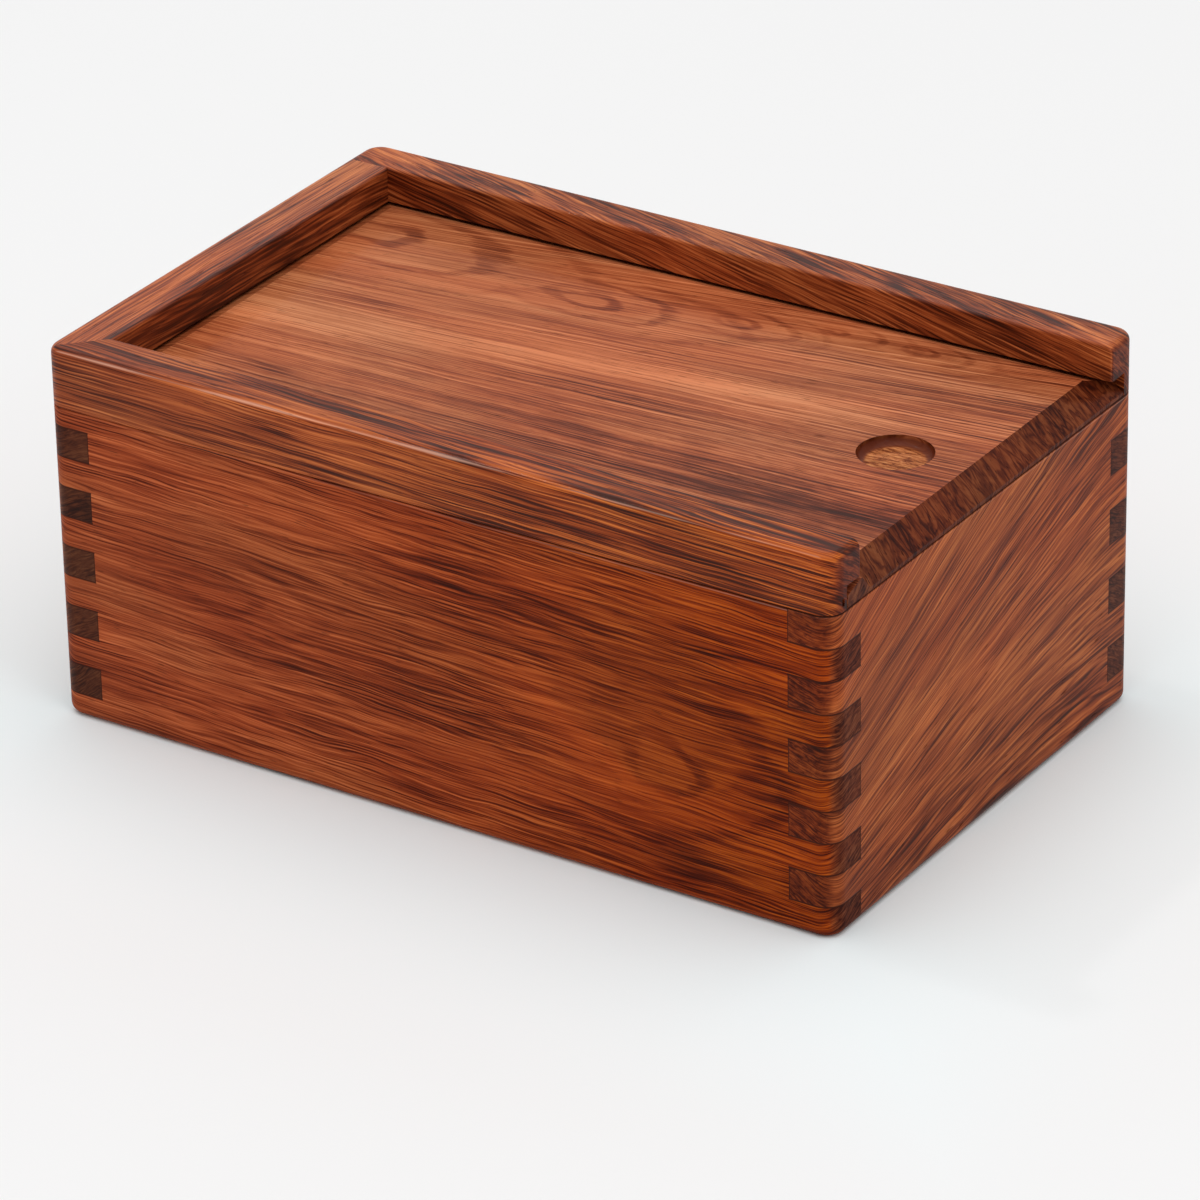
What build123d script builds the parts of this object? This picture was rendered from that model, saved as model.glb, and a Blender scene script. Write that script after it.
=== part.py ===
"""Chess box with a sliding lid, in solid hardwood.

Four walls are finger-jointed into a tray around a rebated bottom panel. Three grooved rails
are glued on top of the walls: one along each long side and one across the closed end. The
lid is a raised panel. Its tongue runs in the rails' grooves and its open end stops flush
with the box, so that it is drawn out along +X by the finger recess.

Millimetres. The origin is at the middle of the underside, +X points to the open end, +Y to
the back and +Z up.
"""

import os

from build123d import *

# ------------------------------------------------------------------ driving dimensions
# The whole box, over the rails
box_length = 200.0
box_depth = 128.0
box_height = 90.0

# Walls and bottom
wall = 11.0
bottom_thickness = 5.0
rebate_width = 5.5
rebate_corner_radius = 4.0

# Grooved rails: an outer leg stands on the wall and carries an overhanging lip
rail_height = 14.0
rail_leg = 5.5
rail_lip = 5.5

# Lid: a raised field, bevelled down to a tongue on three sides and to a thin end face
lid_thickness = 5.6
tongue_thickness = 3.2
end_face_height = 1.2
side_bevel = 7.4
end_bevel = 6.0
end_bevel_run_out = 3.8
side_clearance = 0.4
end_clearance = 0.5
lip_clearance = 0.8
lift_out_spare = 6.0

# Finger recess in the lid
recess_radius = 8.5
recess_depth = 2.1
recess_cove = 1.9
recess_from_end = 23.0

# Finger joints. Each corner states the fingers of its end wall (left or right), and the
# height of the long wall's own wood below the lowest and above the highest of them.
left_fingers = 5
left_bottom_land = 6.0
left_top_land = 4.4
front_right_fingers = 5
front_right_bottom_land = 7.6
back_right_fingers = 5

# Edges, as rounded and broken after the glue-up
corner_radius = 4.5
bottom_rounding = 2.4
top_rounding = 1.8
arris_rounding = 0.6
seam_break = 0.3
tongue_break = 0.4

# Saw kerf, seen in the end of the front rail's leg
kerf_width = 0.8
kerf_height = 1.7
kerf_depth = 3.0
kerf_from_front = 4.2
kerf_above_seam = 1.5

# ------------------------------------------------------------------ derived sizes
half_length = box_length / 2
half_depth = box_depth / 2
body_height = box_height - rail_height
rail_width = rail_leg + rail_lip

inner_length = box_length - 2 * wall
inner_depth = box_depth - 2 * wall

lid_left = -half_length + rail_leg + end_clearance
lid_length = half_length - lid_left
lid_width = box_depth - 2 * (rail_leg + side_clearance)
lid_top = body_height + lid_thickness

# The groove clears the lid's bevel, which is highest where it comes out from under the lip
bevel_rise = lid_thickness - tongue_thickness
bevel_share_under_lip = min(1, (rail_lip - side_clearance) / side_bevel)
groove_height = tongue_thickness + bevel_share_under_lip * bevel_rise + lip_clearance

CORNER = (Align.MIN, Align.MIN, Align.MIN)


def finger_levels(count, bottom_land, top_land):
    """Heights (bottom, top) of an end wall's fingers: equal, with equal gaps between."""
    step = (body_height - bottom_land - top_land) / (2 * count - 1)
    return [(bottom_land + 2 * i * step, bottom_land + (2 * i + 1) * step) for i in range(count)]


def gap_levels(fingers):
    """Heights (bottom, top) of what the fingers leave, which belongs to the long wall."""
    edges = [0.0] + [level for finger in fingers for level in finger] + [body_height]
    return [pair for pair in zip(edges[0::2], edges[1::2]) if pair[1] > pair[0]]


# Each corner: the low X and low Y of its square post, and its end wall's fingers
left_levels = finger_levels(left_fingers, left_bottom_land, left_top_land)
front_left = (-half_length, -half_depth, left_levels)
back_left = (-half_length, half_depth - wall, left_levels)
front_right = (
    half_length - wall,
    -half_depth,
    finger_levels(front_right_fingers, front_right_bottom_land, 0),
)
back_right = (half_length - wall, half_depth - wall, finger_levels(back_right_fingers, 0, 0))


def cut_levels(x, y, levels):
    """Take the given heights out of the corner post whose low X and low Y are given."""
    for low, high in levels:
        with Locations((x, y, low)):
            Box(wall, wall, high - low, align=CORNER, mode=Mode.SUBTRACT)


def cut_fingers(corner):
    """Cut a long wall's end to receive the end wall's fingers."""
    x, y, fingers = corner
    cut_levels(x, y, fingers)


def cut_gaps(corner):
    """Cut an end wall's end down to its fingers."""
    x, y, fingers = corner
    cut_levels(x, y, gap_levels(fingers))


def outer_edges(part, level):
    """The edges round the outside of a block at one end, 0 for its bottom and -1 for its top."""
    return part.edges().group_by(Axis.Z)[level]


# ------------------------------------------------------------------ rounded blocks
# The glued-up tray and the glued-up rails are rounded as one. Each piece is cut to these
# blocks, so that the roundings run over the joints without a step.
with BuildPart() as tray_block:
    with BuildSketch():
        RectangleRounded(box_length, box_depth, corner_radius)
    extrude(amount=body_height)
    fillet(outer_edges(tray_block, 0), bottom_rounding)
    chamfer(outer_edges(tray_block, -1), seam_break)

with BuildPart() as rail_block:
    with BuildSketch(Plane.XY.offset(body_height)):
        RectangleRounded(box_length, box_depth, corner_radius)
    extrude(amount=rail_height)
    fillet(outer_edges(rail_block, -1), top_rounding)
    chamfer(outer_edges(rail_block, 0), seam_break)
    # The well that the rails stand around, open at the right-hand end
    with BuildSketch(Plane.XY.offset(body_height)):
        with Locations((-half_length + rail_width, 0)):
            Rectangle(box_length, box_depth - 2 * rail_width, align=(Align.MIN, Align.CENTER))
    extrude(amount=rail_height, mode=Mode.SUBTRACT)
    fillet(
        rail_block.edges()
        .filter_by(GeomType.LINE)
        .filter_by(lambda edge: edge.center().Z > box_height - arris_rounding / 2)
        .filter_by(lambda edge: abs(edge.center().Y) < half_depth - rail_leg)
        .filter_by(lambda edge: edge.center().X > -half_length + rail_leg),
        arris_rounding,
    )

# ------------------------------------------------------------------ bottom panel
with BuildPart() as bottom_panel:
    with BuildSketch():
        RectangleRounded(
            inner_length + 2 * rebate_width, inner_depth + 2 * rebate_width, rebate_corner_radius
        )
    extrude(amount=bottom_thickness)

# ------------------------------------------------------------------ finger-jointed walls
with BuildPart() as front_wall:
    with Locations((-half_length, -half_depth, 0)):
        Box(box_length, wall, body_height, align=CORNER)
    cut_fingers(front_left)
    cut_fingers(front_right)
    add(bottom_panel.part, mode=Mode.SUBTRACT)
    add(tray_block.part, mode=Mode.INTERSECT)

with BuildPart() as back_wall:
    with Locations((-half_length, half_depth - wall, 0)):
        Box(box_length, wall, body_height, align=CORNER)
    cut_fingers(back_left)
    cut_fingers(back_right)
    add(bottom_panel.part, mode=Mode.SUBTRACT)
    add(tray_block.part, mode=Mode.INTERSECT)

with BuildPart() as left_wall:
    with Locations((-half_length, -half_depth, 0)):
        Box(wall, box_depth, body_height, align=CORNER)
    cut_gaps(front_left)
    cut_gaps(back_left)
    add(bottom_panel.part, mode=Mode.SUBTRACT)
    add(tray_block.part, mode=Mode.INTERSECT)

with BuildPart() as right_wall:
    with Locations((half_length - wall, -half_depth, 0)):
        Box(wall, box_depth, body_height, align=CORNER)
    cut_gaps(front_right)
    cut_gaps(back_right)
    add(bottom_panel.part, mode=Mode.SUBTRACT)
    add(tray_block.part, mode=Mode.INTERSECT)


# ------------------------------------------------------------------ grooved rails
def section_plane(origin, inward):
    """The plane of a section through one side: first axis towards the lid, second axis up."""
    return Plane(origin=origin, x_dir=inward, z_dir=Vector(inward).cross(Vector(0, 0, 1)))


def rail_bar(start, inward, length):
    """A rail of inverted-L section: a leg with a lip that overhangs the groove."""
    with BuildSketch(section_plane(start, inward)) as section:
        with BuildLine():
            Polyline(
                (0, 0),
                (rail_leg, 0),
                (rail_leg, groove_height),
                (rail_width, groove_height),
                (rail_width, rail_height),
                (0, rail_height),
                close=True,
            )
        make_face()
    extrude(section.sketch, amount=length)


def cut_mitre(keep):
    """Cut a rail's front left end at 45 degrees, keeping the front or the left rail's side."""
    mitre_plane = Plane(
        origin=(-half_length, -half_depth, 0), x_dir=(1, 1, 0), z_dir=(1, -1, 0)
    )
    split(bisect_by=mitre_plane, keep=keep)


with BuildPart() as front_rail:
    rail_bar((-half_length, -half_depth, body_height), (0, 1, 0), box_length)
    cut_mitre(Keep.TOP)
    # The end of a narrow saw kerf shows in the leg's right-hand end
    with Locations(
        (half_length, -half_depth + kerf_from_front, body_height + kerf_above_seam)
    ):
        Box(
            kerf_depth,
            kerf_width,
            kerf_height,
            align=(Align.MAX, Align.CENTER, Align.MIN),
            mode=Mode.SUBTRACT,
        )
    add(rail_block.part, mode=Mode.INTERSECT)

with BuildPart() as back_rail:
    rail_bar((half_length, half_depth, body_height), (0, -1, 0), box_length)
    add(rail_block.part, mode=Mode.INTERSECT)

with BuildPart() as left_rail:
    rail_bar(
        (-half_length, half_depth - rail_width, body_height), (1, 0, 0), box_depth - rail_width
    )
    cut_mitre(Keep.BOTTOM)
    # A stub tenon on the leg fills the end of the back rail's groove
    with Locations((-half_length, half_depth - rail_width, body_height)):
        Box(rail_leg, rail_lip, groove_height, align=CORNER)
    add(rail_block.part, mode=Mode.INTERSECT)


# ------------------------------------------------------------------ lid
def bevel_waste(edge_middle, inward, width, depth, mode):
    """The waste of a bevel along one side of the lid: a triangle pushed along the whole side."""
    with BuildSketch(section_plane(edge_middle, inward)) as triangle:
        with BuildLine():
            Polyline((0, 0), (width, 0), (0, -depth), close=True)
        make_face()
    extrude(triangle.sketch, amount=box_length, both=True, mode=mode)


# The bevel of the open end runs out under the back rail, but stops on a slope before the
# front rail's lip, so that the tongue's front corner stays square
with BuildPart() as end_waste:
    front_stop = -half_depth + rail_width
    end_bevel_drop = lid_thickness - end_face_height
    with BuildSketch(Plane(origin=(half_length, 0, lid_top), x_dir=(0, 1, 0), z_dir=(1, 0, 0))):
        with BuildLine():
            Polyline(
                (front_stop, 0),
                (half_depth, 0),
                (half_depth, -end_bevel_drop),
                (front_stop + end_bevel_run_out, -end_bevel_drop),
                close=True,
            )
        make_face()
    extrude(amount=-end_bevel)
    bevel_waste((half_length, 0, lid_top), (-1, 0, 0), end_bevel, end_bevel_drop, Mode.INTERSECT)


with BuildPart() as lid:
    with Locations((lid_left, 0, body_height)):
        Box(lid_length, lid_width, lid_thickness, align=(Align.MIN, Align.CENTER, Align.MIN))
    bevel_waste((0, -lid_width / 2, lid_top), (0, 1, 0), side_bevel, bevel_rise, Mode.SUBTRACT)
    bevel_waste((0, lid_width / 2, lid_top), (0, -1, 0), side_bevel, bevel_rise, Mode.SUBTRACT)
    bevel_waste((lid_left, 0, lid_top), (1, 0, 0), side_bevel, bevel_rise, Mode.SUBTRACT)
    add(end_waste.part, mode=Mode.SUBTRACT)
    chamfer(lid.edges().group_by(Axis.Z)[0], tongue_break)
    # The finger recess: a flat-bottomed dish with a coved wall
    with BuildSketch(Plane.XY.offset(lid_top)):
        with Locations((half_length - recess_from_end, 0)):
            Circle(recess_radius)
    extrude(amount=-recess_depth, mode=Mode.SUBTRACT)
    fillet(lid.edges().filter_by(GeomType.CIRCLE).sort_by(Axis.Z)[0], recess_cove)

# ------------------------------------------------------------------ export
pieces = {
    "front_wall": front_wall,
    "back_wall": back_wall,
    "left_wall": left_wall,
    "right_wall": right_wall,
    "bottom_panel": bottom_panel,
    "front_rail": front_rail,
    "back_rail": back_rail,
    "left_rail": left_rail,
    "lid": lid,
}

os.makedirs("parts", exist_ok=True)
for name, piece in pieces.items():
    piece.part.label = name
    export_step(piece.part, f"parts/{name}.step")

lid_travel = lid_length + lift_out_spare
print("lid travel to lift out, mm:", round(lid_travel, 3))
print("inside, mm:", inner_length, inner_depth, body_height - bottom_thickness)
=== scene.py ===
"""Finish and studio for a finger-jointed chess box with a sliding lid.

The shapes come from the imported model. This script gives every board its own piece of
rosewood: a solid pattern of growth rings, fibres and pores that runs through the board, so
that faces, finger ends and bevels all show the same wood. Lengths of a pattern are in
millimetres, because that is how grain is measured. Everything in the scene is in metres.
"""

import math

import bpy
from bpy.props import FloatProperty, FloatVectorProperty, PointerProperty
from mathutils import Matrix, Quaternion, Vector


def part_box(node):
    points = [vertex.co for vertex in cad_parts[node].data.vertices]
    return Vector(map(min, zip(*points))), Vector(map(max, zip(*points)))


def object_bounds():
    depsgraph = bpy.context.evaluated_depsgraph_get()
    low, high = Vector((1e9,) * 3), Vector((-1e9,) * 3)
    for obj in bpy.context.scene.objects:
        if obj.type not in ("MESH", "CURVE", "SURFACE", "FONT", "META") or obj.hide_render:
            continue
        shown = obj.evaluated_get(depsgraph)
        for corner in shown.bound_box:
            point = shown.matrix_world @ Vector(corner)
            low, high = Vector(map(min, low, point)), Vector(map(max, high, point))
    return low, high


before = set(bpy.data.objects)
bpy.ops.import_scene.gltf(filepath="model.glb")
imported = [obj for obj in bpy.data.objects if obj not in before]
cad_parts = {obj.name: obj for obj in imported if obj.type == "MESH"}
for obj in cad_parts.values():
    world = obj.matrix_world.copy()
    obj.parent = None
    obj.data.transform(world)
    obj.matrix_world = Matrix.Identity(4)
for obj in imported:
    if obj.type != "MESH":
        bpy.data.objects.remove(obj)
packed_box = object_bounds()

bl_info = {
    "name": "Sliding-lid chess box",
    "version": (1, 0, 0),
    "blender": (4, 5, 0),
    "location": "View3D > Sidebar > Chess box",
    "description": "Finishes a finger-jointed chess box in rosewood and sets up a studio for it",
    "category": "Object",
}

MM = 0.001

# ------------------------------------------------------------------ sizes, in millimetres
WALL = 11.0
SEAM_HEIGHT = 76.0

# The glued corners: the height of the lowest glue line, and the spacing of the rest
LEFT_JOINT = (6.0, (SEAM_HEIGHT - 6.0 - 4.4) / 9)
FRONT_RIGHT_JOINT = (7.6, (SEAM_HEIGHT - 7.6) / 9)
BACK_RIGHT_JOINT = (0.0, SEAM_HEIGHT / 9)

# The finger recess: its middle, along and across from the lid's low corner, and the height
# of its floor above the lid's underside
RECESS_MIDDLE = (171.0, 58.1)
RECESS_FLOOR = 3.5

# Every fade below is a pair: where a mark has gone, and where it is full. These are distances
# from the line that the mark lies on. The raw finish's are counted inwards from its limit.
GLUE_FADE = (0.30, 0.10)
SEAM_FADE = (0.26, 0.10)
RIM_HIGHLIGHT_FADE = (0.20, 0.05)
WEAR_AND_HIGHLIGHT_FADE = (0.80, 0.35)
RAW_FADE = (0.0, 0.1)

# The recess's fades: two are radii, round its rim and round its floor, and three are heights
# above its floor, at the top of the dish, at the top of the floor's finish and beneath it
RECESS_RIM = (8.6, 8.3)
RECESS_FLOOR_RIM = (7.2, 6.2)
RECESS_TOP = (2.0, 1.8)
RECESS_FLOOR_TOP = (0.5, 0.1)
RECESS_UNDER = (-1.0, -0.8)

# A glue line ends just past its corner's post, the raw finish reaches a little way into the wood
# behind its faces, and the painted highlight, a pale rim, lies just below the seam
PAST_POST = (0.10, 0.05)
RAW_MARGIN = 0.2
RIM_HIGHLIGHT_BELOW_SEAM = 0.42

# How far outside its end a streak has gone, and how far inside it is full
STREAK_FADE = (25, 5)


# ------------------------------------------------------------------ settings
def colour_property(name, description, default):
    """A colour setting, shown as a swatch."""
    return FloatVectorProperty(
        name=name, description=description, default=default, subtype="COLOR", size=3, min=0, max=1
    )


class ChessBoxWoodSettings(bpy.types.PropertyGroup):
    """Colours and finish of the rosewood."""

    streak: colour_property("Streak", "Colour of the darkest lines", (0.040, 0.007, 0.0022))
    shadow: colour_property("Dark wood", "Colour of the dark growth bands", (0.110, 0.017, 0.004))
    heart: colour_property("Heartwood", "Colour of the body of the wood", (0.290, 0.058, 0.014))
    warm: colour_property("Warm wood", "Colour of the lighter bands", (0.470, 0.122, 0.032))
    gold: colour_property("Gold", "Colour of the palest bands", (0.680, 0.215, 0.066))
    end_grain: colour_property("End grain", "Tint of wood cut across", (0.42, 0.36, 0.36))
    torn: colour_property("Torn fibres", "Colour of the palest fibres there", (0.88, 0.39, 0.14))
    bare: colour_property("Bare wood", "Colour of the floor of the recess", (0.52, 0.17, 0.045))
    # The rubbed colour is the wear on the arrises and also a painted highlight, there and just
    # below the seam
    rubbed: colour_property("Rubbed edges", "Colour of the worn arrises", (0.88, 0.48, 0.34))
    red_cast: colour_property("Red cast", "Tint of the redder patches", (1.0, 0.92, 0.88))
    brown_cast: colour_property("Brown cast", "Tint of the browner patches", (0.96, 1.04, 1.08))
    gloss: FloatProperty(
        name="Roughness", description="Roughness of the rubbed finish", default=0.46, min=0, max=1
    )
    relief: FloatProperty(
        name="Pore depth",
        description="Depth of the open pores",
        default=0.00006,
        min=0,
        max=0.001,
        subtype="DISTANCE",
        unit="LENGTH",
    )


class ChessBoxStageSettings(bpy.types.PropertyGroup):
    """Floor, lamps and camera."""

    floor: colour_property("Floor", "Colour of the floor", (0.90, 0.90, 0.90))
    floor_by_box: colour_property(
        "Floor by the box",
        "Colour there, which offsets the red light off the wood",
        (0.90, 0.96, 0.97),
    )
    floor_width: FloatProperty(
        name="Floor width", description="Side of the square floor", default=8.0, unit="LENGTH"
    )
    ambient: FloatProperty(
        name="Ambient", description="Strength of the even light from all round", default=0.51, min=0
    )
    surroundings: FloatProperty(
        name="Surroundings",
        description="Brightness of the room as the camera and reflections see it",
        default=0.90,
        min=0,
    )
    azimuth: FloatProperty(
        name="Azimuth",
        description="Angle of the camera round the box from the front",
        default=math.radians(33.2068),
        subtype="ANGLE",
    )
    elevation: FloatProperty(
        name="Elevation",
        description="Angle of the camera above the horizon",
        default=math.radians(27.3563),
        subtype="ANGLE",
    )
    roll: FloatProperty(
        name="Roll",
        description="Turn of the camera about its own line of sight",
        default=math.radians(-1.17),
        subtype="ANGLE",
    )
    distance: FloatProperty(
        name="Distance",
        description="Distance from the aim to the camera",
        default=1.5508,
        unit="LENGTH",
    )
    aim: FloatVectorProperty(
        name="Aim",
        description="Point in the middle of the picture",
        default=(0.00523, -0.00589, 0.02994),
        subtype="XYZ",
        unit="LENGTH",
        size=3,
    )
    lens: FloatProperty(
        name="Lens", description="Focal length in millimetres", default=211.74, min=1
    )


# ------------------------------------------------------------------ node helpers
class Nodes:
    """Adds nodes to one material or world, and hands back their output sockets."""

    def __init__(self, owner):
        owner.use_nodes = True
        self.tree = owner.node_tree
        self.tree.nodes.clear()

    def add(self, kind, inputs, output=0, **settings):
        """One node: inputs is a dict of socket name or number to a value or another socket."""
        node = self.tree.nodes.new(kind)
        for name, value in settings.items():
            setattr(node, name, value)
        for socket, value in inputs.items():
            if isinstance(value, bpy.types.NodeSocket):
                self.tree.links.new(value, node.inputs[socket])
            else:
                node.inputs[socket].default_value = value
        return node.outputs[output] if node.outputs else None

    def math(self, operation, *values, clamp=False):
        """A Math node on numbers or sockets."""
        return self.add(
            "ShaderNodeMath", dict(enumerate(values)), operation=operation, use_clamp=clamp
        )

    def add_up(self, *values):
        """The sum of any number of values."""
        total = values[0]
        for value in values[1:]:
            total = self.math("ADD", total, value)
        return total

    def product(self, *values):
        """The product of any number of values."""
        total = values[0]
        for value in values[1:]:
            total = self.math("MULTIPLY", total, value)
        return total

    def scaled(self, vector, scale):
        """A vector times a vector, part by part."""
        return self.add("ShaderNodeVectorMath", {0: vector, 1: scale}, operation="MULTIPLY")

    def distance(self, a, b):
        """The root of the sum of two squares."""
        squares = self.math("MULTIPLY_ADD", a, a, self.math("MULTIPLY", b, b))
        return self.math("SQRT", squares)

    def parts(self, vector):
        """The three parts of a vector."""
        split = self.tree.nodes.new("ShaderNodeSeparateXYZ")
        self.tree.links.new(vector, split.inputs[0])
        return list(split.outputs)

    def join(self, x, y, z):
        """A vector from its three parts."""
        return self.add("ShaderNodeCombineXYZ", {0: x, 1: y, 2: z})

    def noise(self, vector, detail=2.0, roughness=0.5, distortion=0.0):
        """Smooth noise from about -0.5 to 0.5, with features one unit apart."""
        value = self.add(
            "ShaderNodeTexNoise",
            {
                "Vector": vector,
                "Scale": 1.0,
                "Detail": detail,
                "Roughness": roughness,
                "Distortion": distortion,
            },
        )
        return self.math("SUBTRACT", value, 0.5)

    def pattern(self, name, place, stretch=(1, 1, 1)):
        """One of the NOISES, stretched by some number of times each way."""
        lengths, *settings = NOISES[name]
        scale = tuple(1 / length / times for length, times in zip(lengths, stretch))
        return self.noise(self.scaled(place, scale), *settings)

    def step(self, value, low, high):
        """0 below low, 1 above high and smooth between."""
        return self.add(
            "ShaderNodeMapRange",
            {"Value": value, "From Min": low, "From Max": high},
            interpolation_type="SMOOTHSTEP",
            clamp=True,
        )

    def hump(self, distance, width):
        """exp(-(distance / width) squared): 1 on a line, fading to 0 about a width from it."""
        share = self.math("DIVIDE", distance, width)
        return self.math("EXPONENT", self.product(share, share, -1.0))

    def ramp(self, factor, stops):
        """Colours along a line: stops is a list of (position, colour)."""
        node = self.tree.nodes.new("ShaderNodeValToRGB")
        points = node.color_ramp.elements
        while len(points) < len(stops):
            points.new(1.0)
        for point, (position, colour) in zip(points, stops):
            point.position = position
            point.color = (*colour, 1.0)
        self.tree.links.new(factor, node.inputs[0])
        return node.outputs[0]

    def mix(self, factor, a, b, blend="MIX"):
        """Two colours mixed, each a socket or three numbers."""
        a, b = [
            value if isinstance(value, bpy.types.NodeSocket) else (*value, 1.0) for value in (a, b)
        ]
        return self.add(
            "ShaderNodeMix",
            {0: factor, 6: a, 7: b},
            output=2,
            data_type="RGBA",
            blend_type=blend,
            clamp_factor=True,
        )


# ------------------------------------------------------------------ the wood's pattern
# Each noise: the distances over which it changes, in millimetres, and its detail, roughness
# and distortion. The distances of the first group run along, across and through the board.
NOISES = {
    "weave": ((30, 7, 7), 2.0),
    "drift": ((70, 20, 20), 2.0),
    "stir": ((20, 11, 14), 1.0),
    "ragged": ((9, 1.6, 9), 3.0, 0.6),
    "curls": ((60, 3.2, 3.2), 4.0, 0.65, 1.4),
    "smears": ((35, 35, 35), 2.0),
    "torn": ((4.5, 1.1, 1), 4.0, 0.75),
    # These follow the grain: across the rings, along the grain and through the board
    "broad": ((11, 130, 60), 2.0),
    "patches": ((13, 45, 14), 2.0),
    "hue": ((16, 60, 30), 2.0),
    "veins": ((2.6, 110, 30), 1.0),
    "hairs": ((1.1, 90, 10), 1.0),
    "lines": ((1.7, 60, 25), 2.0, 0.6),
    "comb": ((0.50, 28, 8), 2.0, 0.7),
    "fibres": ((0.30, 16, 4), 1.0, 0.6),
    "pores": ((0.30, 5, 1.2), 1.0),
    "end_rings": ((1, 60, 5), 2.0, 0.5, 0.7),
}

# The tone of a board runs from 0, its darkest pigment, to 1. A tone of 0.52 is its middle,
# and these are the tones of the five colours from streak to gold.
MIDDLE_TONE = 0.52
SHADE_TONES = (0.05, 0.27, 0.48, 0.68, 0.95)

# What the noises add to the tone, for a contrast of 1
BROAD_TONE = 0.70
PATCH_TONE = 0.40
LINE_TONE = 0.38
COMB_TONE = 0.90
FIBRE_TONE = 0.60
HAIR_TONE = -0.07
RING_TONE = -0.24
CURL_TONE = 0.50

# A vein, a hair or a ring on end grain is drawn where its noise is this near to zero, and the
# veins and hairs only where another noise is low. The veins keep off the whorls.
VEIN_WIDTH = 0.028
HAIR_WIDTH = 0.050
RING_WIDTH = 0.07
VEIN_PATCHES = (0.14, -0.10)
HAIR_BANDS = (0.12, -0.10)
OFF_WHORLS = (0.30, 0.02)

# Levels of a noise between which a mark comes in
PORE_LEVELS = (0.16, 0.24)
RED_LEVELS = (-0.02, 0.14)
BROWN_LEVELS = (0.02, -0.14)
SPECK_LEVELS = (0.02, 0.08)
TORN_LEVELS = (0.0, -0.16)

# Figures: how far noise stirs them, how far a whorl lifts the pigment and quietens the fibres,
# and how its rings and a cloud are drawn. RING_OPENS is where the rings come in, counted from
# the whorl's middle in its lengths.
STIR = 0.7
WHORL_LIFT = 8
WHORL_EDGE = 1.15
WHORL_CALM = 0.4
RINGS = 1.5
RING_EDGE = 1.6
RING_STRENGTH = 1.1
RING_RAGGED = 0.22
RING_LEVELS = (-0.3, -1.0)
RING_OPENS = (-0.9, 0.3)
CLOUD_RAGGED = 1.6

# How much of the wood's colour each mark covers. The painted highlight's, on the rim below the
# seam, are at the low end of the grain and at its far end.
# The arrises' cover is for their wear and their painted highlight together
WEAR_AND_HIGHLIGHT_COVER = 0.55
PORE_COVER = 0.55
GLUE_COVER = 0.9
SEAM_COVER = 0.9
RIM_HIGHLIGHT_COVER = (0.02, 0.20)
BARE_COVER = 0.35
TORN_COVER = 0.50
SPECK_COVER = 0.90
# The cove's darkening is painted shade in the recess
COVE_SHADE_COVER = 0.90

# What each mark adds to the roughness, and the coat's own roughness
ROUGHER = {
    "pores": 0.25,
    "fibres": 0.12,
    "smears": 0.14,
    "end": 0.10,
    "raw": 0.22,
    "worn_highlight": -0.16,
    "floor": 0.25,
    "cove": -0.14,
}
COAT_ROUGHNESS = 0.12

# How high the fibres stand beside the pores, and how strong the bump is
FIBRE_HEIGHT = 0.35
BUMP_STRENGTH = 0.55

# Fades by the sine of how far a face turns along the grain, for the rubbed arrises and their
# painted highlight, and of how far it looks up, for the seam
WORN_HIGHLIGHT_TURN = (0.70, 0.15)
SEAM_TURN = (0.95, 0.85)

# How far the patches' noise moves the edge of the wear and its painted highlight, in millimetres,
# and the middle of a streak, in its widths
WEAR_AND_HIGHLIGHT_RAGGED = 1.2
STREAK_WAVER = 1.6


# ------------------------------------------------------------------ how the boards are cut
class Board:
    """How one board was cut from the tree. Lengths are millimetres from its low corner.

    axes: which way the grain, the width and the thickness run, such as "XZY".
    pith: (across, through) of the tree's middle.
    lean: how far the pith shifts (across, through) for each millimetre along the grain.
    fan: (across, rate) of a line from which the grain opens out along the board.
    bend: how fast the grain's slope changes along the board.
    wander: how far the growth bands stray from straight.
    wave: how far the fibres weave.
    reach: how far the fibres run before they fade, as a multiple of the usual.
    bands, fine, veins: contrast of the growth bands, of the fibres, and of the dark veins.
    calm: how much quieter the fibres are at the low end of the grain.
    tone: how light the board is.
    whorls: eyes that the pigment runs round, each (along, across, length, width, strength).
    clouds: soft ragged patches, each (along, across, length, width, strength).
    streaks: bands of tone, each (along, across, along, across, width, strength). Most are pigment,
    but the left rail's, along its inner face, and the right wall's, along its bottom, are painted
    shade.
    top_streaks: the same, with the second and fourth number counted through the board.
    tint, far_tint: colours that multiply the wood at the low end of the grain and at its far
    end. Without a far_tint the whole board has the tint.
    end_tint: the colour that multiplies it where it is cut across.
    end_from: how far a face turns along the grain before it starts to look cut across, and
    before it wholly does, as the sine of that angle.
    end_marks: how strong the curls, rings and pores are there.
    end_fine: what is left there of the fibres' contrast.
    ring_spacing: how far apart the rings are there.
    polish: index of refraction of the finish, and the weight of its coat.
    seam: how dark the seam is at the low end of the grain. At the far end it is SEAM_COVER.
    joints: glued corners, each (end, lowest glue line, spacing of the glue lines).
    inner_side: which side of the thickness is inside the box, "low" or "high".
    """

    lean = (0, 0)
    fan = (0, 0)
    bend = 0.0
    wander = 2.2
    wave = 1.6
    reach = 1.0
    bands = 1.0
    fine = 1.0
    veins = 0.14
    calm = 0.0
    tone = 0.0
    whorls = ()
    clouds = ()
    streaks = ()
    top_streaks = ()
    tint = (1.0, 1.0, 1.0)
    far_tint = None
    end_tint = (1.0, 1.0, 1.0)
    end_from = (0.55, 0.96)
    end_marks = 1.0
    end_fine = 0.4
    ring_spacing = 0.9
    polish = (1.14, 0.08)
    seam = SEAM_COVER
    joints = ()
    inner_side = "high"

    def __init__(self, axes, pith, **look):
        self.axes = axes
        self.pith = pith
        for name, value in look.items():
            setattr(self, name, value)


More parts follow.
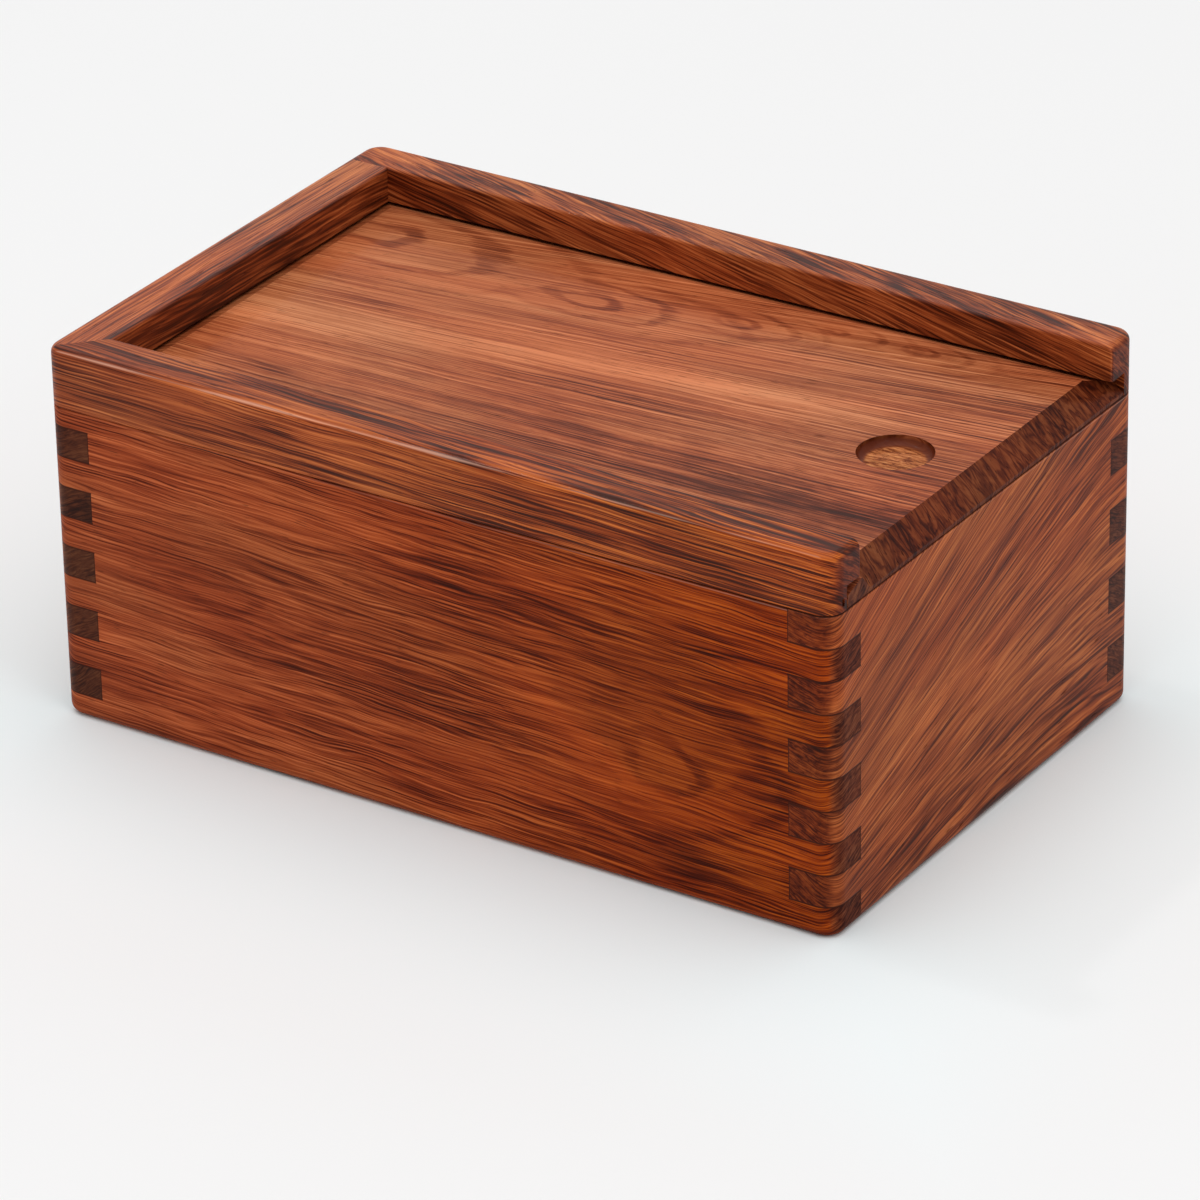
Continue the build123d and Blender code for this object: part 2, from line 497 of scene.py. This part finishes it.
BOARDS = {
    "front_wall": Board(
        "XZY",
        pith=(-60, 45),
        lean=(-0.03, 0.0),
        wander=4.5,
        bands=0.32,
        fine=2.0,
        calm=0.38,
        veins=0.16,
        reach=1.4,
        wave=2.6,
        tone=0.05,
        tint=(1.04, 0.92, 1.10),
        far_tint=(0.76, 0.44, 0.08),
        end_tint=(0.95, 1.05, 1.4),
        polish=(1.06, 0.12),
        whorls=[(160, 32, 26, 18, 0.16), (40, 42, 34, 10, 0.07)],
        clouds=[
            (184, 30, 8, 9, -0.14),
            (160, 32, 12, 7, 0.12),
            (158, 12, 24, 5, -0.14),
            (140, 24, 12, 6, 0.07),
            (110, 62, 40, 6, -0.07),
            (80, 30, 34, 6, -0.07),
            (20, 40, 60, 40, -0.035),
        ],
        seam=0.3,
        joints=[("low", *LEFT_JOINT), ("high", *FRONT_RIGHT_JOINT)],
    ),
    "back_wall": Board(
        "XZY",
        pith=(-70, -50),
        lean=(0.03, 0.02),
        wander=4.0,
        bands=0.4,
        fine=1.7,
        tone=0.03,
        end_tint=(0.70, 0.80, 1.1),
        whorls=[(78, 40, 44, 12, 0.10)],
        clouds=[(130, 52, 34, 8, -0.08), (50, 18, 30, 7, 0.06)],
        streaks=[(20, 20, 150, 34, 6, -0.10)],
        joints=[("low", *LEFT_JOINT), ("high", *BACK_RIGHT_JOINT)],
        inner_side="low",
    ),
    "left_wall": Board(
        "YZX",
        pith=(-50, 60),
        lean=(0.05, 0.02),
        wander=3.0,
        bands=0.45,
        fine=1.6,
        tone=0.03,
        end_marks=0.5,
        end_tint=(0.70, 0.95, 1.3),
        clouds=[(40, 30, 22, 7, -0.07), (96, 44, 20, 8, 0.06)],
        streaks=[(10, 50, 110, 60, 5, -0.10)],
        joints=[("low", *LEFT_JOINT), ("high", *LEFT_JOINT)],
    ),
    "right_wall": Board(
        "YZX",
        pith=(-30, -45),
        lean=(0.10, 0.0),
        fan=(0, 0.005),
        bend=0.0031,
        wander=1.5,
        bands=0.42,
        fine=1.3,
        veins=0.2,
        tone=0.012,
        tint=(0.98, 0.92, 0.84),
        end_tint=(1.6, 1.42, 0.9),
        # This streak darkens the bottom of the wall, a painted shade along its bottom edge
        streaks=[(0, 0, 128, 0, 2.5, -0.15)],
        joints=[("low", *FRONT_RIGHT_JOINT), ("high", *BACK_RIGHT_JOINT)],
        inner_side="low",
    ),
    "bottom_panel": Board(
        "XYZ",
        pith=(50, 90),
        lean=(0.02, 0.0),
        wander=4.0,
        bands=0.5,
        fine=1.4,
        whorls=[(120, 40, 16, 9, 0.10)],
        streaks=[(10, 80, 180, 70, 6, -0.10)],
    ),
    "front_rail": Board(
        "XZY",
        pith=(-40, -24),
        lean=(-0.01, -0.03),
        wander=1.6,
        bands=0.6,
        fine=2.3,
        calm=0.4,
        veins=0.32,
        tint=(1.04, 1.02, 1.05),
        far_tint=(1.03, 0.86, 0.45),
        polish=(1.18, 0.10),
        reach=2.0,
        seam=0.3,
        end_from=(0.80, 1.0),
        end_marks=0.6,
        end_tint=(1.5, 1.35, 1.2),
        top_streaks=[(50, 9, 110, 2, 1.6, -0.16), (150, 4, 200, 7, 4.0, -0.10)],
    ),
    "back_rail": Board(
        "XZY",
        pith=(-22, -22),
        lean=(-0.12, -0.12),
        wander=1.6,
        fine=1.6,
        veins=0.26,
        polish=(1.20, 0.10),
        end_tint=(1.4, 1.4, 1.5),
    ),
    "left_rail": Board(
        "YXZ",
        pith=(-40, 40),
        lean=(0.02, 0.0),
        wander=1.2,
        fine=1.4,
        tone=0.04,
        polish=(1.25, 0.10),
        # This streak darkens the rail's inner face along its length, a painted shade under the lip
        streaks=[(0, 11, 121, 11, 2.0, -0.22)],
    ),
    "lid": Board(
        "XYZ",
        pith=(-90, 60),
        lean=(0.04, 0.0),
        fan=(40, 0.002),
        wander=5.0,
        bands=0.36,
        fine=1.4,
        calm=0.3,
        tone=0.16,
        # The tint lifts green and blue: partly the lid's paler wood, partly a painted sheen on its
        # top
        tint=(1.02, 1.16, 1.60),
        far_tint=(0.99, 1.09, 1.52),
        end_from=(0.2, 0.5),
        end_tint=(0.84, 0.86, 0.92),
        end_marks=1.4,
        end_fine=0.2,
        ring_spacing=1.8,
        whorls=[
            (10, 95, 34, 13, 0.20),
            (70, 89, 26, 8, 0.22),
            (108, 96, 14, 6, 0.16),
            (130, 103, 12, 5, 0.16),
            (150, 104, 12, 5, 0.14),
        ],
        reach=3.0,
        clouds=[
            (60, 100, 60, 12, -0.06),
            (120, 8, 110, 36, -0.27),
            (192, 60, 36, 50, -0.18),
        ],
        streaks=[(10, 49, 190, 76, 6, 0.20), (80, 34, 190, 28, 3, -0.09)],
    ),
}


# ------------------------------------------------------------------ places and grain
class Spot:
    """Where a point of a board lies and how its face is turned, as sockets.

    place: the point in the box, in metres.
    normal: the way its face looks.
    from_corner: the point from the board's low corner, in millimetres.
    along, across, through: the same, in the board's own directions. ways joins the three.
    far: 0 at the low end of the grain and 1 at its far end.
    turned: how far the face turns along the grain, as the sine of the angle.
    end: 1 where the board is cut across and 0 on its faces and edges.
    """

    def __init__(self, n, board, low_corner, high_corner):
        coordinates = n.tree.nodes.new("ShaderNodeTexCoord")
        self.place = n.parts(coordinates.outputs["Object"])
        self.normal = n.parts(coordinates.outputs["Normal"])
        self.from_corner = n.add(
            "ShaderNodeMapping",
            {
                "Vector": coordinates.outputs["Object"],
                "Location": Vector(low_corner) * (-1 / MM),
                "Scale": (1 / MM, 1 / MM, 1 / MM),
            },
            vector_type="POINT",
        )
        order = ["XYZ".index(axis) for axis in board.axes]
        offsets = n.parts(self.from_corner)
        self.along, self.across, self.through = [offsets[i] for i in order]
        self.ways = n.join(self.along, self.across, self.through)
        self.length, _, self.thickness = [(high_corner[i] - low_corner[i]) / MM for i in order]
        self.far = n.step(self.along, 0, self.length)
        self.turned = n.math("ABSOLUTE", self.normal[order[0]])
        self.end = n.step(self.turned, *board.end_from)


def straight_grain(n, board, spot):
    """Distance across the growth rings of a straight tree, in millimetres.

    The rings are round the pith, a leaning line, so the distance is the square root of the
    squares of the two offsets from it. The board's fan and bend open and curve the grain
    along its length, and quick noise gives it a slight wave.
    """
    from_middle = n.math("SUBTRACT", spot.along, spot.length / 2)
    fan_across, fan_rate = board.fan
    opened = n.math("EXPONENT", n.math("MULTIPLY", from_middle, -fan_rate))
    bent = n.product(from_middle, from_middle, board.bend / 2)
    from_fan = n.math("SUBTRACT", spot.across, fan_across)
    width = n.math("MULTIPLY_ADD", from_fan, opened, fan_across)
    pith_across, pith_through = [
        n.math("MULTIPLY_ADD", from_middle, lean, pith)
        for lean, pith in zip(board.lean, board.pith)
    ]
    side = n.math("ADD", n.math("SUBTRACT", width, pith_across), bent)
    depth = n.math("SUBTRACT", spot.through, pith_through)
    weave = n.pattern("weave", spot.ways)
    return n.math("MULTIPLY_ADD", weave, board.wave, n.distance(side, depth))


def figures(n, board, spot):
    """The board's whorls and clouds: how far they lift the pigment, where, and their tone.

    The r of a point is its distance from a figure's middle, counted in the figure's own
    lengths and widths and stirred by noise. A whorl lifts the pigment by WHORL_LIFT times its
    strength and width times exp(-r squared), so that the dark bands run round it and close
    into an eye, while the fibres stay straight. It has dark rings too, RINGS to each r, which
    fade with exp(-(r / RING_EDGE) squared) and towards its low end. A cloud's tone is
    exp(-r squared).
    """
    stir = n.pattern("stir", spot.ways)
    ragged = n.pattern("ragged", spot.ways)

    def radius(at_along, at_across, length, width):
        r = n.distance(
            n.math("DIVIDE", n.math("SUBTRACT", spot.along, at_along), length),
            n.math("DIVIDE", n.math("SUBTRACT", spot.across, at_across), width),
        )
        return n.math("MULTIPLY_ADD", stir, STIR, r)

    lift = tone = near = 0.0
    for *figure, strength in board.whorls:
        at_along, _, length, width = figure
        r = radius(*figure)
        lift = n.math("MULTIPLY_ADD", n.hump(r, 1.0), WHORL_LIFT * strength * width, lift)
        near = n.math("MAXIMUM", near, n.hump(r, WHORL_EDGE))
        r = n.math("MULTIPLY_ADD", ragged, RING_RAGGED, r)
        ring = n.math("COSINE", n.math("MULTIPLY", r, 2 * math.pi * RINGS))
        ring = n.step(ring, *RING_LEVELS)
        open_side = n.step(spot.along, *[at_along + share * length for share in RING_OPENS])
        ring = n.product(ring, n.hump(r, RING_EDGE), open_side)
        tone = n.math("MULTIPLY_ADD", ring, -RING_STRENGTH * strength, tone)
    for *figure, strength in board.clouds:
        r = n.math("MULTIPLY_ADD", ragged, CLOUD_RAGGED, radius(*figure))
        tone = n.math("MULTIPLY_ADD", n.hump(r, 1.0), strength, tone)
    return lift, near, tone


def streak_tone(n, streaks, along, side, wave, tone):
    """The tone with straight darker and lighter bands that end softly and waver a little."""
    outside, inside = STREAK_FADE
    for from_along, from_side, to_along, to_side, width, strength in streaks:
        slope = (to_side - from_side) / (to_along - from_along)
        line = n.math("MULTIPLY_ADD", along, slope, from_side - slope * from_along)
        wavy = n.math("MULTIPLY_ADD", wave, STREAK_WAVER * width, side)
        band = n.product(
            n.hump(n.math("SUBTRACT", wavy, line), width),
            n.step(along, from_along - outside, from_along + inside),
            n.step(along, to_along + outside, to_along - inside),
        )
        tone = n.math("MULTIPLY_ADD", band, strength, tone)
    return tone


class Grain:
    """The grain of a board at a spot: its noises, by name, and its tone.

    The pigment's noises follow the rings, which wander and are lifted by the whorls. The
    fibres' noises follow the straight grain.
    """

    def __init__(self, n, board, spot):
        lift, whorled, clouds = figures(n, board, spot)
        grain = straight_grain(n, board, spot)
        drift = n.pattern("drift", spot.ways)
        rings = n.math("MULTIPLY_ADD", drift, 2.0 * board.wander, n.math("ADD", grain, lift))
        ring_place = n.join(rings, spot.along, spot.through)
        grain_place = n.join(grain, spot.along, spot.through)
        reach = (1, board.reach, 1)
        self.noises = {
            **{name: n.pattern(name, ring_place) for name in ("broad", "patches", "hue", "veins")},
            **{name: n.pattern(name, grain_place) for name in ("hairs", "pores")},
            **{name: n.pattern(name, grain_place, reach) for name in ("lines", "comb", "fibres")},
            "end_rings": n.pattern("end_rings", grain_place, (board.ring_spacing, 1, 1)),
            "curls": n.pattern("curls", spot.ways),
        }
        self.tone = self.find_tone(n, board, spot, whorled, clouds)

    def find_tone(self, n, board, spot, whorled, clouds):
        """How light the wood is, before its pores and marks."""
        noises = self.noises
        off_end = n.math("SUBTRACT", 1.0, spot.end)
        tone = n.math(
            "MULTIPLY_ADD", noises["broad"], BROAD_TONE * board.bands, MIDDLE_TONE + board.tone
        )
        tone = n.math("MULTIPLY_ADD", off_end, clouds, tone)
        tone = n.math("MULTIPLY_ADD", noises["patches"], PATCH_TONE * board.bands, tone)
        tone = n.math("MULTIPLY_ADD", noises["lines"], LINE_TONE * board.bands, tone)
        veins = n.product(
            n.hump(noises["veins"], VEIN_WIDTH),
            n.step(noises["patches"], *VEIN_PATCHES),
            n.step(whorled, *OFF_WHORLS),
        )
        tone = n.math("MULTIPLY_ADD", veins, -board.veins, tone)
        hairs = n.product(
            n.hump(noises["hairs"], HAIR_WIDTH), n.step(noises["broad"], *HAIR_BANDS)
        )
        tone = n.math("MULTIPLY_ADD", hairs, HAIR_TONE * board.fine, tone)

        # The fibres are quieter on end grain, at the low end of the grain and in the whorls
        threads = n.add_up(
            n.math("MULTIPLY", noises["comb"], COMB_TONE),
            n.math("MULTIPLY", noises["fibres"], FIBRE_TONE),
        )
        contrast = n.product(
            n.math("MULTIPLY_ADD", spot.end, (board.end_fine - 1) * board.fine, board.fine),
            n.math("MULTIPLY_ADD", spot.far, board.calm, 1 - board.calm),
            n.math("MULTIPLY_ADD", whorled, -WHORL_CALM, 1.0),
        )
        tone = n.math("MULTIPLY_ADD", threads, contrast, tone)

        # On end grain the rings show as fine wavy lines, with curls between them
        rings = n.hump(noises["end_rings"], RING_WIDTH)
        cut_across = n.add_up(
            n.math("MULTIPLY", rings, RING_TONE * board.end_marks),
            n.math("MULTIPLY", noises["curls"], CURL_TONE * board.end_marks),
        )
        tone = n.math("MULTIPLY_ADD", cut_across, spot.end, tone)
        for streaks, side in ((board.streaks, spot.across), (board.top_streaks, spot.through)):
            tone = streak_tone(n, streaks, spot.along, side, noises["patches"], tone)
        return tone


# ------------------------------------------------------------------ marks on the wood
def in_metres(lengths):
    """Lengths in millimetres, turned into metres."""
    return [length * MM for length in lengths]


def glue_lines(n, board, spot):
    """1 in the thin glue lines round the fingers of a board's ends, and 0 elsewhere."""
    mask = 0.0
    from_inside = spot.through
    if board.inner_side == "high":
        from_inside = n.math("SUBTRACT", spot.thickness, spot.through)
    for end, lowest, spacing in board.joints:
        from_end = spot.along if end == "low" else n.math("SUBTRACT", spot.length, spot.along)
        # Counted from a glue line far below the box, so that it is never below zero
        above = n.math("SUBTRACT", spot.across, lowest - 10 * spacing)
        from_level = n.math("PINGPONG", above, spacing / 2)
        line = n.step(n.math("MINIMUM", from_level, from_inside), *GLUE_FADE)
        in_post = n.step(from_end, *[WALL + past for past in PAST_POST])
        mask = n.math("MAXIMUM", mask, n.math("MULTIPLY", line, in_post))
    return mask


def edge_wear_and_highlight(n, spot, ragged):
    """1 on the arrises of the whole box and 0 a little way in from them. The paler colour put there
    is their wear and a painted highlight.

    A point is near an arris when its second smallest distance to the six sides of the box is
    small. That is the least of the larger ones of each pair of distances. Faces that are cut
    across are left alone.
    """
    x, y, z = [
        n.math("MINIMUM", n.math("SUBTRACT", part, low), n.math("SUBTRACT", high, part))
        for part, low, high in zip(spot.place, *packed_box)
    ]
    pairs = [n.math("MAXIMUM", a, b) for a, b in ((x, y), (x, z), (y, z))]
    nearest = n.math("MINIMUM", n.math("MINIMUM", pairs[0], pairs[1]), pairs[2])
    nearest = n.math("MULTIPLY_ADD", ragged, WEAR_AND_HIGHLIGHT_RAGGED * MM, nearest)
    worn_highlight = n.step(nearest, *in_metres(WEAR_AND_HIGHLIGHT_FADE))
    return n.math("MULTIPLY", worn_highlight, n.step(spot.turned, *WORN_HIGHLIGHT_TURN))


def left_raw(n, spot):
    """1 on the sides that are sanded but not rubbed up: the inside and the underside."""
    low, high = packed_box
    x, y, z = spot.place
    in_tray, across_tray = [
        n.math("SUBTRACT", high[i] - (WALL - RAW_MARGIN) * MM, n.math("ABSOLUTE", part))
        for i, part in enumerate((x, y))
    ]
    below_lid = n.math("SUBTRACT", (SEAM_HEIGHT + RAW_MARGIN) * MM, z)
    inside = n.math("MINIMUM", n.math("MINIMUM", in_tray, across_tray), below_lid)
    inside = n.step(inside, *in_metres(RAW_FADE))
    underside = n.step(z, low[2] + 2 * RAW_MARGIN * MM, low[2] + RAW_MARGIN * MM)
    return n.math("MAXIMUM", inside, underside)


def seam_marks(n, board, spot, wood, colour):
    """The colour with the dark seam between walls and rails, and a painted highlight, a pale rim,
    below it.
    """
    below_seam = n.math("SUBTRACT", SEAM_HEIGHT * MM, spot.place[2])
    from_rim_highlight = n.math("ABSOLUTE", n.math("SUBTRACT", below_seam, RIM_HIGHLIGHT_BELOW_SEAM * MM))
    # The pale rim just below the seam is a painted highlight in the rubbed colour
    low, far = RIM_HIGHLIGHT_COVER
    cover = n.math("MULTIPLY_ADD", spot.far, far - low, low)
    rim = n.math("MULTIPLY", n.step(from_rim_highlight, *in_metres(RIM_HIGHLIGHT_FADE)), cover)
    colour = n.mix(rim, colour, wood.rubbed)

    # The seam is on the broken edges there, but not on the flat tops of the walls
    seam = n.product(
        n.step(n.math("ABSOLUTE", below_seam), *in_metres(SEAM_FADE)),
        n.step(n.math("ABSOLUTE", spot.normal[2]), *SEAM_TURN),
        n.math("MULTIPLY_ADD", spot.far, SEAM_COVER - board.seam, board.seam),
    )
    return n.mix(seam, colour, wood.streak)


def recess_parts(n, spot):
    """1 on the floor of the finger recess and 0 elsewhere, and the same for its cove."""
    radius = n.distance(
        *[
            n.math("SUBTRACT", way, middle)
            for way, middle in zip((spot.along, spot.across), RECESS_MIDDLE)
        ]
    )
    above_floor = n.math("SUBTRACT", spot.through, RECESS_FLOOR)
    above_under = n.step(above_floor, *RECESS_UNDER)
    floor = n.product(
        above_under, n.step(above_floor, *RECESS_FLOOR_TOP), n.step(radius, *RECESS_FLOOR_RIM)
    )
    in_dish = n.product(
        n.step(radius, *RECESS_RIM), n.step(above_floor, *RECESS_TOP), above_under
    )
    return floor, n.math("SUBTRACT", in_dish, floor, clamp=True)


def recess_marks(n, spot, wood, colour, floor, cove):
    """The colour with the recess's torn, paler floor, its cove darkened as painted shade, and the
    floor's specks.
    """
    torn = n.pattern("torn", n.join(spot.along, spot.across, 0.0))
    specks = n.math("MULTIPLY", floor, n.step(torn, *SPECK_LEVELS))
    pale = n.math("MULTIPLY", floor, n.step(torn, *TORN_LEVELS))
    # The cove takes the dark wood's colour as painted shade
    for mask, cover, shade in (
        (floor, BARE_COVER, wood.bare),
        (pale, TORN_COVER, wood.torn),
        (specks, SPECK_COVER, wood.shadow),
        (cove, COVE_SHADE_COVER, wood.shadow),
    ):
        colour = n.mix(n.math("MULTIPLY", mask, cover), colour, shade)
    return colour, specks


# ------------------------------------------------------------------ the finish of a board
def rosewood(name, board, low_corner, high_corner, wood):
    """The material of one board, on Object coordinates."""
    material = bpy.data.materials.new("rosewood_" + name)
    n = Nodes(material)
    spot = Spot(n, board, low_corner, high_corner)
    grain = Grain(n, board, spot)
    noises = grain.noises

    shades = (wood.streak, wood.shadow, wood.heart, wood.warm, wood.gold)
    colour = n.ramp(grain.tone, list(zip(SHADE_TONES, shades)))
    tint = n.mix(spot.far, board.tint, board.far_tint or board.tint)
    tint = n.mix(spot.end, tint, (1.0, 1.0, 1.0))
    colour = n.mix(1.0, colour, tint, blend="MULTIPLY")

    # Patches run a little redder or browner than the rest
    for levels, cast in ((RED_LEVELS, wood.red_cast), (BROWN_LEVELS, wood.brown_cast)):
        colour = n.mix(n.step(noises["hue"], *levels), colour, cast, blend="MULTIPLY")

    # The arrises turn paler: their wear, and a painted highlight along them
    marks = {"worn_highlight": edge_wear_and_highlight(n, spot, noises["patches"])}
    colour = n.mix(n.math("MULTIPLY", marks["worn_highlight"], WEAR_AND_HIGHLIGHT_COVER), colour, wood.rubbed)

    # Open pores: short dark dashes along the grain, dots on the end grain
    pores = n.product(
        n.step(noises["pores"], *PORE_LEVELS),
        n.math("MULTIPLY_ADD", spot.end, board.end_marks - 1, 1.0),
    )
    colour = n.mix(n.math("MULTIPLY", pores, PORE_COVER), colour, wood.streak)

    # Wood cut across drinks the finish and turns darker
    end_colour = tuple(part * share for part, share in zip(wood.end_grain, board.end_tint))
    colour = n.mix(spot.end, colour, end_colour, blend="MULTIPLY")

    marks["pores"] = pores
    marks["fibres"] = noises["fibres"]
    marks["smears"] = n.pattern("smears", spot.from_corner)
    marks["end"] = spot.end
    marks["raw"] = left_raw(n, spot)
    height = n.math("SUBTRACT", n.math("MULTIPLY", noises["fibres"], FIBRE_HEIGHT), pores)
    if name == "lid":
        marks["floor"], marks["cove"] = recess_parts(n, spot)
        colour, specks = recess_marks(n, spot, wood, colour, marks["floor"], marks["cove"])
        height = n.math("SUBTRACT", height, specks)
    else:
        colour = seam_marks(n, board, spot, wood, colour)
    if board.joints:
        glue = glue_lines(n, board, spot)
        colour = n.mix(n.math("MULTIPLY", glue, GLUE_COVER), colour, wood.streak)
        height = n.math("SUBTRACT", height, glue)

    roughness = wood.gloss
    for mark, mask in marks.items():
        roughness = n.math("MULTIPLY_ADD", mask, ROUGHER[mark], roughness)
    bump = n.add(
        "ShaderNodeBump",
        {"Height": height, "Strength": BUMP_STRENGTH, "Distance": wood.relief},
    )
    shader = n.add(
        "ShaderNodeBsdfPrincipled",
        {
            "Base Color": colour,
            "Roughness": roughness,
            "Normal": bump,
            "IOR": board.polish[0],
            "Coat Weight": board.polish[1],
            "Coat Roughness": COAT_ROUGHNESS,
        },
    )
    n.add("ShaderNodeOutputMaterial", {"Surface": shader})
    return material


def finish_board(name):
    """Gives one packed board its rosewood."""
    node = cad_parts[name]
    wood = bpy.context.scene.chess_box_wood
    material = rosewood(name, BOARDS[name], *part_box(name), wood)
    for material_slot in node.material_slots:
        material_slot.material = material


class CHESSBOX_OT_finish_walls(bpy.types.Operator):
    """Give the four finger-jointed walls their wood"""

    bl_idname = "chess_box.finish_walls"
    bl_label = "Finish walls"

    def execute(self, context):
        for name in ("front_wall", "back_wall", "left_wall", "right_wall"):
            finish_board(name)
        return {"FINISHED"}


class CHESSBOX_OT_finish_bottom(bpy.types.Operator):
    """Give the bottom panel its wood"""

    bl_idname = "chess_box.finish_bottom"
    bl_label = "Finish bottom"

    def execute(self, context):
        finish_board("bottom_panel")
        return {"FINISHED"}


class CHESSBOX_OT_finish_rails(bpy.types.Operator):
    """Give the three grooved rails their wood"""

    bl_idname = "chess_box.finish_rails"
    bl_label = "Finish rails"

    def execute(self, context):
        for name in ("front_rail", "back_rail", "left_rail"):
            finish_board(name)
        return {"FINISHED"}


class CHESSBOX_OT_finish_lid(bpy.types.Operator):
    """Give the lid its wood"""

    bl_idname = "chess_box.finish_lid"
    bl_label = "Finish lid"

    def execute(self, context):
        finish_board("lid")
        return {"FINISHED"}


# ------------------------------------------------------------------ studio
# The point that the softboxes face
BOX_MIDDLE = (0, 0, 0.05)

# Each softbox: the direction to it from there, its distance, its side and its power
SOFTBOXES = {
    "overhead_softbox": ((0.10, -0.10, 1.0), 2.5, 3.4, 47),
    "back_softbox": ((-0.487, 0.743, 0.46), 2.0, 1.5, 1.2),
    "left_softbox": ((-0.486, -0.03, 0.873), 1.3, 0.07, 0.8),
    "right_softbox": ((0.70, -0.35, 0.62), 1.3, 0.15, 0.5),
}

# The camera's sensor, in millimetres, and how near and how far it sees, in metres
SENSOR_WIDTH = 36
CLIPPING = (0.05, 50)

# How far from the box the floor's tint fades out, in metres
FLOOR_TINT_FADE = (0.09, 0.0)


def add_softbox(name, direction, distance, size, power):
    """A square lamp that faces the middle of the box from one direction."""
    lamp = bpy.data.lights.new(name, "AREA")
    lamp.shape = "SQUARE"
    lamp.size = size
    lamp.energy = power
    holder = bpy.data.objects.new(name, lamp)
    towards = Vector(direction).normalized()
    holder.location = Vector(BOX_MIDDLE) + towards * distance
    holder.rotation_mode = "QUATERNION"
    holder.rotation_quaternion = (-towards).to_track_quat("-Z", "Y")
    bpy.context.scene.collection.objects.link(holder)


def studio_world(stage):
    """Even light from all round, which the camera and reflections see as a pale room."""
    world = bpy.data.worlds.new("studio")
    n = Nodes(world)
    light_path = n.tree.nodes.new("ShaderNodeLightPath")
    camera, glossy, transmission = [
        light_path.outputs[f"Is {kind} Ray"] for kind in ("Camera", "Glossy", "Transmission")
    ]
    seen = n.math("MAXIMUM", n.math("MAXIMUM", camera, glossy), transmission)
    strength = n.math("MULTIPLY_ADD", seen, stage.surroundings - stage.ambient, stage.ambient)
    shader = n.add("ShaderNodeBackground", {"Color": (1.0, 1.0, 1.0, 1.0), "Strength": strength})
    n.add("ShaderNodeOutputWorld", {"Surface": shader})
    return world


def add_floor(stage):
    """A pale floor under the box. Near the box it is painted a cooler tint that offsets the red
    light off the wood.
    """
    half = stage.floor_width / 2
    corners = [(-half, -half, 0), (half, -half, 0), (half, half, 0), (-half, half, 0)]
    mesh = bpy.data.meshes.new("floor")
    mesh.from_pydata(corners, [], [(0, 1, 2, 3)])
    floor = bpy.data.objects.new("floor", mesh)
    bpy.context.scene.collection.objects.link(floor)
    material = bpy.data.materials.new("floor")
    n = Nodes(material)
    coordinates = n.tree.nodes.new("ShaderNodeTexCoord")
    place = n.parts(coordinates.outputs["Object"])
    beyond = [
        n.math("SUBTRACT", n.math("ABSOLUTE", place[i]), packed_box[1][i]) for i in range(2)
    ]
    by_box = n.step(n.math("MAXIMUM", *beyond), *FLOOR_TINT_FADE)
    colour = n.mix(by_box, stage.floor, stage.floor_by_box)
    shader = n.add("ShaderNodeBsdfDiffuse", {"Color": colour})
    n.add("ShaderNodeOutputMaterial", {"Surface": shader})
    mesh.materials.append(material)


def add_camera(stage):
    """The camera, turned round the box and rolled a little."""
    camera = bpy.data.cameras.new("camera")
    camera.lens = stage.lens
    camera.sensor_width = SENSOR_WIDTH
    camera.clip_start, camera.clip_end = CLIPPING
    holder = bpy.data.objects.new("camera", camera)
    azimuth, elevation = stage.azimuth, stage.elevation
    back = Vector(
        (
            math.sin(azimuth) * math.cos(elevation),
            -math.cos(azimuth) * math.cos(elevation),
            math.sin(elevation),
        )
    )
    holder.location = Vector(stage.aim) + back * stage.distance
    holder.rotation_mode = "QUATERNION"
    facing = (-back).to_track_quat("-Z", "Y")
    holder.rotation_quaternion = facing @ Quaternion((0, 0, 1), stage.roll)
    bpy.context.scene.collection.objects.link(holder)
    bpy.context.scene.camera = holder


class CHESSBOX_OT_make_stage(bpy.types.Operator):
    """Set up the floor, the lamps and the camera"""

    bl_idname = "chess_box.make_stage"
    bl_label = "Make stage"

    def execute(self, context):
        stage = context.scene.chess_box_stage
        add_floor(stage)
        for name, softbox in SOFTBOXES.items():
            add_softbox(name, *softbox)
        add_camera(stage)
        context.scene.world = studio_world(stage)
        context.scene.view_settings.view_transform = "Standard"
        return {"FINISHED"}


# ------------------------------------------------------------------ panel and registration
class CHESSBOX_PT_sidebar(bpy.types.Panel):
    """Everything that this add-on makes and the settings that it reads"""

    bl_label = "Chess box"
    bl_idname = "CHESSBOX_PT_sidebar"
    bl_space_type = "VIEW_3D"
    bl_region_type = "UI"
    bl_category = "Chess box"

    def draw(self, context):
        layout = self.layout
        for settings in (context.scene.chess_box_wood, context.scene.chess_box_stage):
            box = layout.box()
            for name in settings.__annotations__:
                box.prop(settings, name)
        for operator in OPERATORS:
            layout.operator(operator.bl_idname)


OPERATORS = (
    CHESSBOX_OT_finish_walls,
    CHESSBOX_OT_finish_bottom,
    CHESSBOX_OT_finish_rails,
    CHESSBOX_OT_finish_lid,
    CHESSBOX_OT_make_stage,
)
CLASSES = (ChessBoxWoodSettings, ChessBoxStageSettings, *OPERATORS, CHESSBOX_PT_sidebar)


def register():
    for made in CLASSES:
        bpy.utils.register_class(made)
    bpy.types.Scene.chess_box_wood = PointerProperty(type=ChessBoxWoodSettings)
    bpy.types.Scene.chess_box_stage = PointerProperty(type=ChessBoxStageSettings)


def unregister():
    del bpy.types.Scene.chess_box_stage
    del bpy.types.Scene.chess_box_wood
    for made in reversed(CLASSES):
        bpy.utils.unregister_class(made)


def main():
    register()
    bpy.ops.chess_box.finish_walls()
    bpy.ops.chess_box.finish_bottom()
    bpy.ops.chess_box.finish_rails()
    bpy.ops.chess_box.finish_lid()
    bpy.ops.chess_box.make_stage()


if __name__ == "__main__":
    main()
